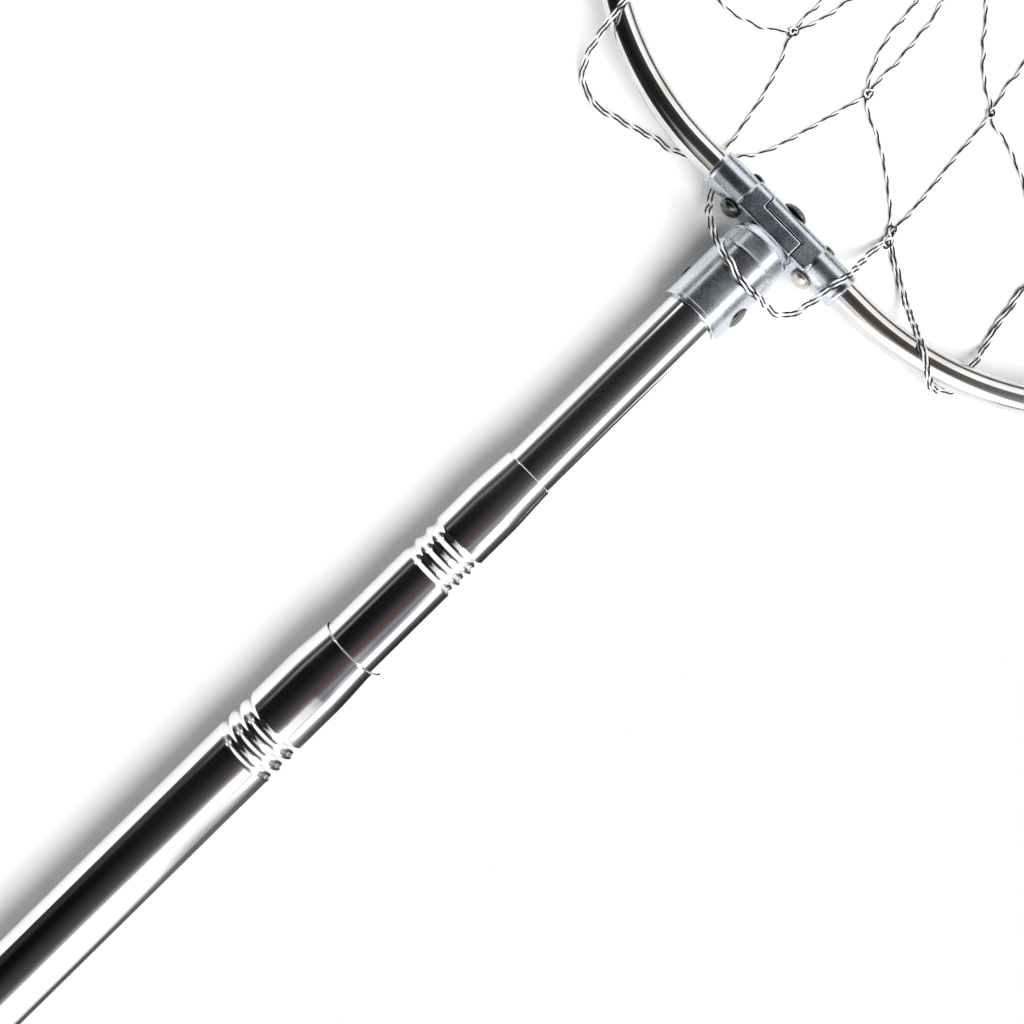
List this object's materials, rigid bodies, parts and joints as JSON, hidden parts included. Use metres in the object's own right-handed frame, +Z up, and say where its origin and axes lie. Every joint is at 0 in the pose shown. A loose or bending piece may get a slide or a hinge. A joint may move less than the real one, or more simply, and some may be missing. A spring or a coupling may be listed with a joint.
{
  "type": "landing net",
  "caption": "Landing net with a telescopic polished tube handle, cast folding head, hoop in hinged halves and a diamond mesh twine bag.",
  "frame": {"origin": "centre of the flat rear face of the butt cap, on the handle's axis", "axes": "+X along the handle from the butt to the hoop, +Y towards the left half of the hoop, +Z up out of the hoop's plane with the net lying below it"},
  "size_m": [0.8245, 0.2468, 0.022],
  "materials": {
    "polished_tube": "polished stainless steel tube",
    "hoop_tube": "polished aluminium tube",
    "cast_alloy": "die cast alloy, tumbled bright",
    "rivet_steel": "plated steel",
    "black_plastic": "moulded, matt",
    "white_plastic": "moulded, matt",
    "net_twine": "twisted black and white twine"
  },
  "bodies": {
    "handle": {"outer_tube": "polished_tube", "butt_cap": "black_plastic"},
    "middle": {"middle_tube": "polished_tube", "middle_guide_bush": "white_plastic"},
    "inner": {"inner_tube": "polished_tube", "inner_guide_bush": "white_plastic", "hub": "cast_alloy", "hub_rivet": "rivet_steel", "pivot_rivet": "rivet_steel", "pivot_washer": "rivet_steel"},
    "hoop_left": {"left_arm": "cast_alloy", "left_arm_rivet": "rivet_steel", "left_hoop_tube": "hoop_tube", "left_tip_arm": "cast_alloy", "left_tip_rivet": "rivet_steel", "tip_rivet": "rivet_steel", "left_net": "net_twine"},
    "hoop_right": {"right_arm": "cast_alloy", "right_arm_rivet": "rivet_steel", "right_hoop_tube": "hoop_tube", "right_tip_arm": "cast_alloy", "right_tip_rivet": "rivet_steel", "right_net": "net_twine"}
  },
  "joints": [
    {"name": "middle_slide", "type": "slide", "parent": "handle", "child": "middle", "axis": [1, 0, 0], "range_m": [0, 0.312]},
    {"name": "inner_slide", "type": "slide", "parent": "middle", "child": "inner", "axis": [1, 0, 0], "range_m": [0, 0.355]},
    {"name": "hoop_swivel", "type": "hinge", "parent": "inner", "child": "hoop_left", "pos_m": [0.5405, 0, 0], "axis": [1, 0, 0], "continuous": true},
    {"name": "hoop_fold", "type": "hinge", "parent": "hoop_left", "child": "hoop_right", "pos_m": [0.5405, 0, 0], "axis": [-1, 0, 0], "range_deg": [0, 110]}
  ]
}
